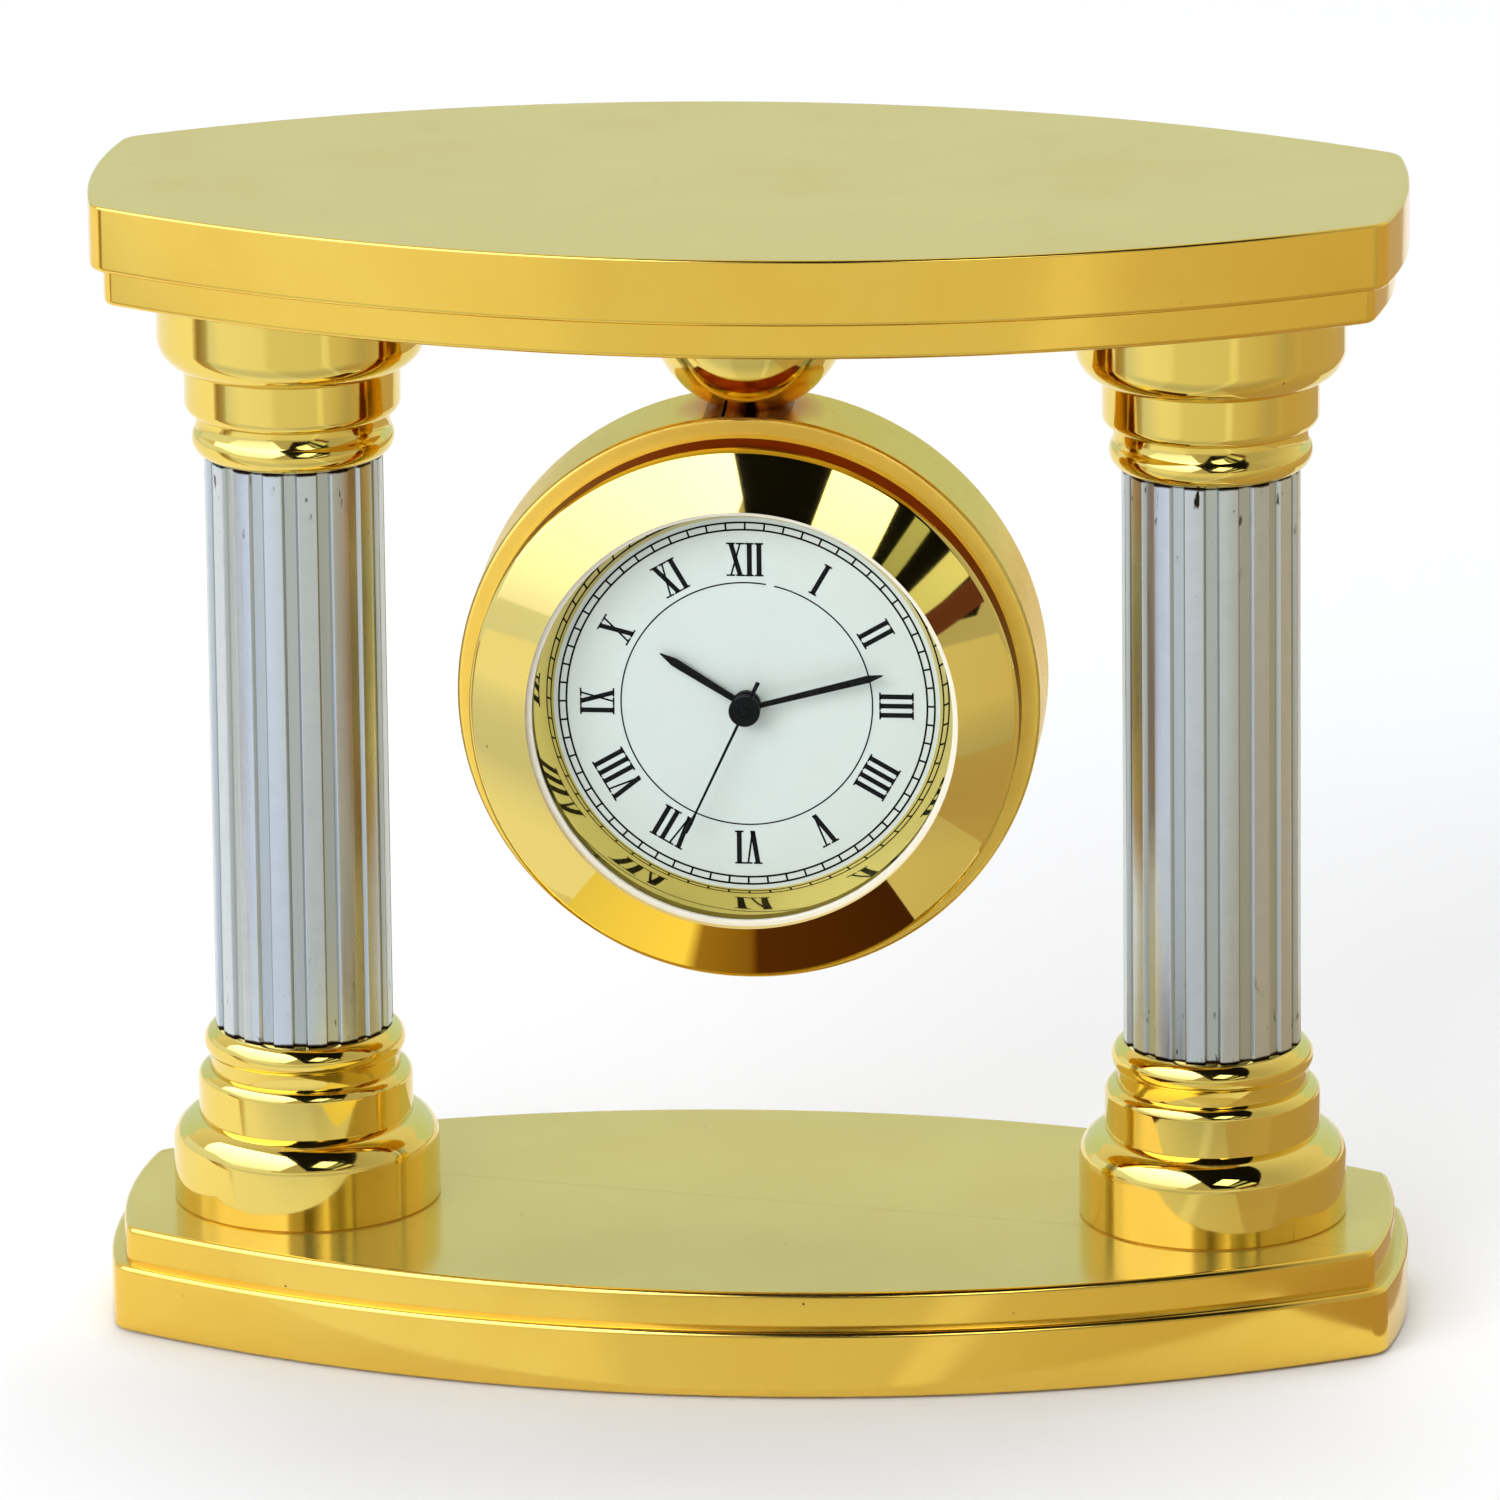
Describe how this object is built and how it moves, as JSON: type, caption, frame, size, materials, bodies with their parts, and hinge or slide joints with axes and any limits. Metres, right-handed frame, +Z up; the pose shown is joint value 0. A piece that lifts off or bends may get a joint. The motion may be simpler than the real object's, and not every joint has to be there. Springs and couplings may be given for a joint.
{
  "type": "desk clock",
  "caption": "Miniature portico desk clock: stepped barrel-shaped plates on fluted columns, a drum hung from a ball, a push-in quartz insert and a Roman dial.",
  "frame": {"origin": "middle of the underside of the felt pad, on the surface it stands on", "axes": "+X to the right along the row of columns, +Y to the back, +Z up; the dial faces -Y"},
  "size_m": [0.087, 0.0406, 0.078],
  "materials": {
    "plated_brass": "polished gold plate over turned brass",
    "satin_metal": "satin nickel look, fluted",
    "felt": "pressed felt",
    "fastener_steel": "zinc-plated steel",
    "glass": "clear mineral glass",
    "gasket_white": "translucent white nylon",
    "dial_white": "cool white enamel paint with black print",
    "case_brass": "lacquered brass",
    "grip_rubber": "moulded rubber",
    "board_green": "solder mask",
    "copper_wire": "enamelled copper wire",
    "hand_black": "gloss black paint",
    "knob_black": "moulded plastic"
  },
  "bodies": {
    "frame": {"base_plate": "plated_brass", "felt_pad": "felt", "top_plate": "plated_brass", "left_column_base": "plated_brass", "right_column_base": "plated_brass", "left_column_shaft": "satin_metal", "right_column_shaft": "satin_metal", "left_capital": "plated_brass", "right_capital": "plated_brass", "left_tie_rod": "fastener_steel", "right_tie_rod": "fastener_steel", "tie_rod_nuts": "fastener_steel", "tie_rod_washers": "fastener_steel", "hanger_ball": "plated_brass", "hanger_screw": "fastener_steel", "drum_ring": "plated_brass"},
    "insert": {"insert_bezel": "plated_brass", "crystal": "glass", "crystal_gasket": "gasket_white", "reflector_ring": "plated_brass", "dial": "dial_white", "insert_case": "case_brass", "grip_ring": "grip_rubber", "movement_holder": "gasket_white", "main_plate": "case_brass", "train_bridge": "case_brass", "circuit_board": "board_green", "quartz_can": "fastener_steel", "battery": "fastener_steel", "battery_spring": "fastener_steel", "coil_core": "fastener_steel", "coil_winding": "copper_wire", "stator": "fastener_steel"},
    "cover": {"back_cover": "case_brass"},
    "minute": {"cannon_pinion": "case_brass", "minute_hand": "hand_black"},
    "motion": {"motion_wheel": "case_brass"},
    "hour": {"hour_wheel": "case_brass", "hour_hand": "hand_black"},
    "setting": {"setting_arbor": "fastener_steel", "setting_knob": "knob_black"},
    "second": {"second_wheel": "case_brass", "second_hand": "hand_black"},
    "middle": {"intermediate_wheel": "case_brass"},
    "rotor": {"rotor": "fastener_steel"}
  },
  "joints": [
    {"name": "insert_pull", "type": "slide", "parent": "frame", "child": "insert", "axis": [0, -1, 0], "range_m": [0, 0.008]},
    {"name": "cover_pull", "type": "slide", "parent": "insert", "child": "cover", "axis": [0, 1, 0], "range_m": [0, 0.003]},
    {"name": "minute_turn", "type": "hinge", "parent": "insert", "child": "minute", "pos_m": [0, 0, 0.0434], "axis": [0, 1, 0], "continuous": true},
    {"name": "motion_turn", "type": "hinge", "parent": "insert", "child": "motion", "pos_m": [-0.00332, 0, 0.04108], "axis": [0, 1, 0], "continuous": true},
    {"name": "hour_turn", "type": "hinge", "parent": "insert", "child": "hour", "pos_m": [0, 0, 0.0434], "axis": [0, 1, 0], "continuous": true},
    {"name": "setting_turn", "type": "hinge", "parent": "insert", "child": "setting", "pos_m": [-0.0068, 0, 0.03864], "axis": [0, 1, 0], "continuous": true},
    {"name": "rotor_turn", "type": "hinge", "parent": "insert", "child": "rotor", "pos_m": [0.00455, 0, 0.05128], "axis": [0, 1, 0], "continuous": true},
    {"name": "middle_turn", "type": "hinge", "parent": "insert", "child": "middle", "pos_m": [0.00243, 0, 0.0476], "axis": [0, 1, 0], "continuous": true},
    {"name": "second_turn", "type": "hinge", "parent": "insert", "child": "second", "pos_m": [0, 0, 0.0434], "axis": [0, 1, 0], "continuous": true}
  ],
  "couplings": [
    {"joint": "motion_turn", "follows": "minute_turn", "ratio": -0.33333},
    {"joint": "hour_turn", "follows": "minute_turn", "ratio": 0.083333},
    {"joint": "setting_turn", "follows": "minute_turn", "ratio": 0.83333},
    {"joint": "middle_turn", "follows": "rotor_turn", "ratio": -0.16667},
    {"joint": "second_turn", "follows": "rotor_turn", "ratio": 0.033333}
  ]
}
